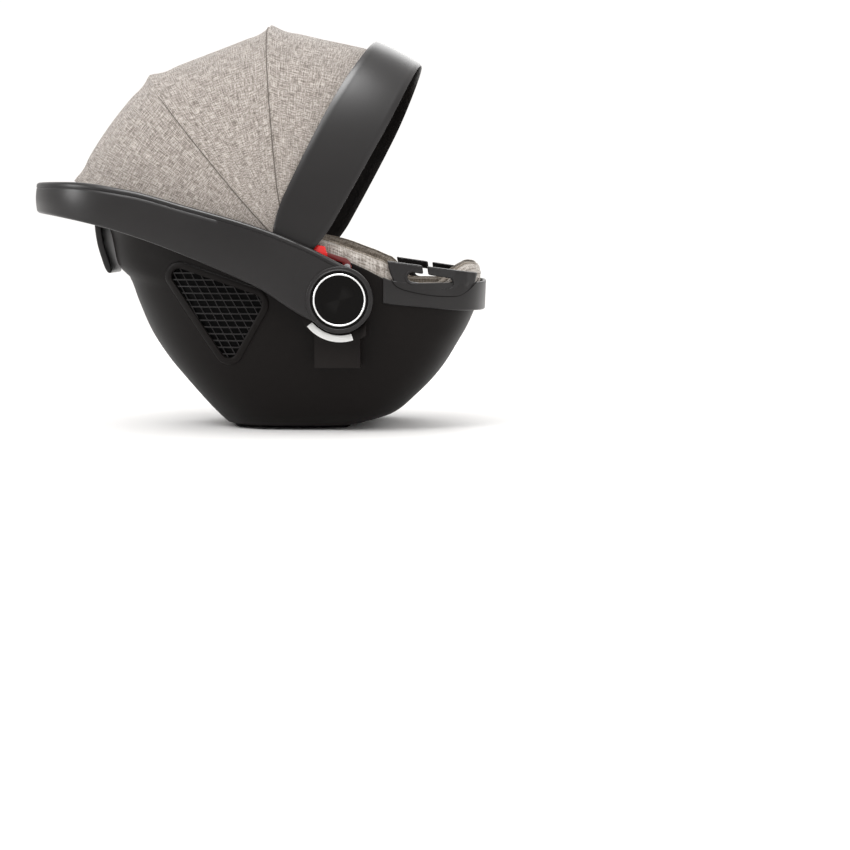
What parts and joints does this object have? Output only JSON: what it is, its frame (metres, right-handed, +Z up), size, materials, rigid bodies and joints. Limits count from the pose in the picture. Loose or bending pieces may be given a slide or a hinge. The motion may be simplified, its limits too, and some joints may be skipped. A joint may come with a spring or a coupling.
{
  "type": "infant car seat",
  "caption": "Rear-facing infant car seat with a bucket shell, swinging carry handle, folding fabric canopy, padded cover, harness, belt guides and stroller adapter sockets.",
  "frame": {"origin": "centre of the bounding box in plan, on the floor that the base runners stand on", "axes": "+X towards the foot end, +Y towards the occupant's left, +Z up; handle stored back, canopy open"},
  "size_m": [0.618, 0.4416, 0.5474],
  "materials": {
    "shell_plastic": "fine moulded grain, matte",
    "satin_plastic": "satin moulded plastic",
    "liner_foam": "dark expanded foam beads",
    "cover_fabric": "melange woven fabric",
    "pad_fabric": "darker melange woven fabric",
    "canopy_fabric": "melange woven fabric",
    "webbing": "ribbed woven webbing",
    "steel": "zinc plated",
    "bright_trim": "satin bright ring",
    "white_plastic": "semi gloss",
    "button_plastic": "matte black",
    "red_plastic": "semi gloss",
    "grey_plastic": "satin"
  },
  "bodies": {
    "root": {"shell": "shell_plastic", "foot_rim": "satin_plastic", "base_runners": "shell_plastic", "foam_liner": "liner_foam", "seat_cover": "cover_fabric", "head_support": "pad_fabric", "vent_bezel_right": "shell_plastic", "vent_bezel_left": "shell_plastic", "vent_grille_right": "shell_plastic", "vent_grille_left": "shell_plastic", "lap_belt_guide_right": "satin_plastic", "lap_belt_guide_left": "satin_plastic", "shoulder_belt_guide": "satin_plastic", "pivot_housing_right": "shell_plastic", "pivot_housing_left": "shell_plastic", "housing_screws": "steel", "pivot_bolt_right": "steel", "pivot_bolt_left": "steel", "lock_spring_right": "steel", "lock_spring_left": "steel", "adapter_socket_right": "shell_plastic", "adapter_socket_left": "shell_plastic", "socket_collar_right": "white_plastic", "socket_collar_left": "white_plastic", "lever_pins": "steel", "canopy_pins": "steel", "canopy_rear_panel": "canopy_fabric", "shoulder_strap_right": "webbing", "shoulder_strap_left": "webbing", "shoulder_pad_right": "pad_fabric", "shoulder_pad_left": "pad_fabric", "buckle_tongues": "steel", "crotch_strap": "webbing", "crotch_pad": "pad_fabric", "buckle_body": "shell_plastic", "harness_yoke": "steel", "adjuster_housing": "shell_plastic", "adjuster_strap": "webbing"},
    "handle": {"handle_outer": "satin_plastic", "handle_cover": "satin_plastic", "hub_ring_right": "bright_trim", "hub_ring_left": "bright_trim"},
    "button_right": {"hub_button_right": "button_plastic"},
    "button_left": {"hub_button_left": "button_plastic"},
    "gear_right": {"lock_gear_right": "steel"},
    "gear_left": {"lock_gear_left": "steel"},
    "lever_right": {"release_lever_right": "red_plastic"},
    "lever_left": {"release_lever_left": "red_plastic"},
    "latch_right": {"adapter_latch_right": "steel"},
    "latch_left": {"adapter_latch_left": "steel"},
    "rear_bow": {"canopy_rear_bow": "steel", "canopy_middle_panel": "canopy_fabric"},
    "middle_bow": {"canopy_middle_bow": "steel", "canopy_front_panel": "canopy_fabric"},
    "front_bow": {"canopy_front_bow": "satin_plastic"},
    "buckle_release": {"buckle_button": "red_plastic"},
    "adjuster_release": {"adjuster_button": "grey_plastic"}
  },
  "joints": [
    {"name": "handle_pivot", "type": "hinge", "parent": "root", "child": "handle", "pos_m": [0.117, 0, 0.179], "axis": [0, 1, 0], "range_deg": [0, 150]},
    {"name": "handle_button_right", "type": "slide", "parent": "handle", "child": "button_right", "axis": [0, 1, 0], "range_m": [0, 0.004], "stiffness_N_per_m": 600, "springref_m": -0.003},
    {"name": "lock_gear_right", "type": "slide", "parent": "root", "child": "gear_right", "axis": [0, 1, 0], "range_m": [0, 0.004], "deforming": ["lock_spring_right"]},
    {"name": "release_lever_right", "type": "hinge", "parent": "root", "child": "lever_right", "pos_m": [0.126, 0, 0.22126], "axis": [0, 1, 0], "range_deg": [0, 10], "stiffness_Nm_per_rad": 0.4, "springref_deg": -8.59},
    {"name": "adapter_latch_right", "type": "slide", "parent": "root", "child": "latch_right", "axis": [1, 0, 0], "range_m": [0, 0.005]},
    {"name": "handle_button_left", "type": "slide", "parent": "handle", "child": "button_left", "axis": [0, -1, 0], "range_m": [0, 0.004], "stiffness_N_per_m": 600, "springref_m": -0.003},
    {"name": "lock_gear_left", "type": "slide", "parent": "root", "child": "gear_left", "axis": [0, -1, 0], "range_m": [0, 0.004], "deforming": ["lock_spring_left"]},
    {"name": "release_lever_left", "type": "hinge", "parent": "root", "child": "lever_left", "pos_m": [0.126, 0, 0.22126], "axis": [0, 1, 0], "range_deg": [0, 10], "stiffness_Nm_per_rad": 0.4, "springref_deg": -8.59},
    {"name": "adapter_latch_left", "type": "slide", "parent": "root", "child": "latch_left", "axis": [1, 0, 0], "range_m": [0, 0.005]},
    {"name": "canopy_rear_fold", "type": "hinge", "parent": "root", "child": "rear_bow", "pos_m": [0.046, 0, 0.244], "axis": [0, -1, 0], "range_deg": [0, 25], "deforming": ["canopy_rear_panel"]},
    {"name": "canopy_middle_fold", "type": "hinge", "parent": "rear_bow", "child": "middle_bow", "pos_m": [0.046, 0, 0.244], "axis": [0, -1, 0], "range_deg": [0, 25], "deforming": ["canopy_middle_panel"]},
    {"name": "canopy_front_fold", "type": "hinge", "parent": "middle_bow", "child": "front_bow", "pos_m": [0.046, 0, 0.244], "axis": [0, -1, 0], "range_deg": [0, 25], "deforming": ["canopy_front_panel"]},
    {"name": "buckle_button_press", "type": "slide", "parent": "root", "child": "buckle_release", "axis": [0.4226, 0, -0.9063], "range_m": [0, 0.003], "stiffness_N_per_m": 500, "springref_m": -0.002},
    {"name": "adjuster_button_press", "type": "slide", "parent": "root", "child": "adjuster_release", "axis": [0, 0, -1], "range_m": [0, 0.003], "stiffness_N_per_m": 500, "springref_m": -0.002}
  ],
  "couplings": [
    {"joint": "lock_gear_right", "follows": "handle_button_right", "ratio": 1},
    {"joint": "lock_gear_left", "follows": "handle_button_left", "ratio": 1},
    {"joint": "adapter_latch_right", "follows": "release_lever_right", "m_per_rad": 0.027502},
    {"joint": "adapter_latch_left", "follows": "release_lever_left", "m_per_rad": 0.027502},
    {"joint": "canopy_middle_fold", "follows": "canopy_rear_fold", "ratio": 1},
    {"joint": "canopy_front_fold", "follows": "canopy_rear_fold", "ratio": 1}
  ]
}
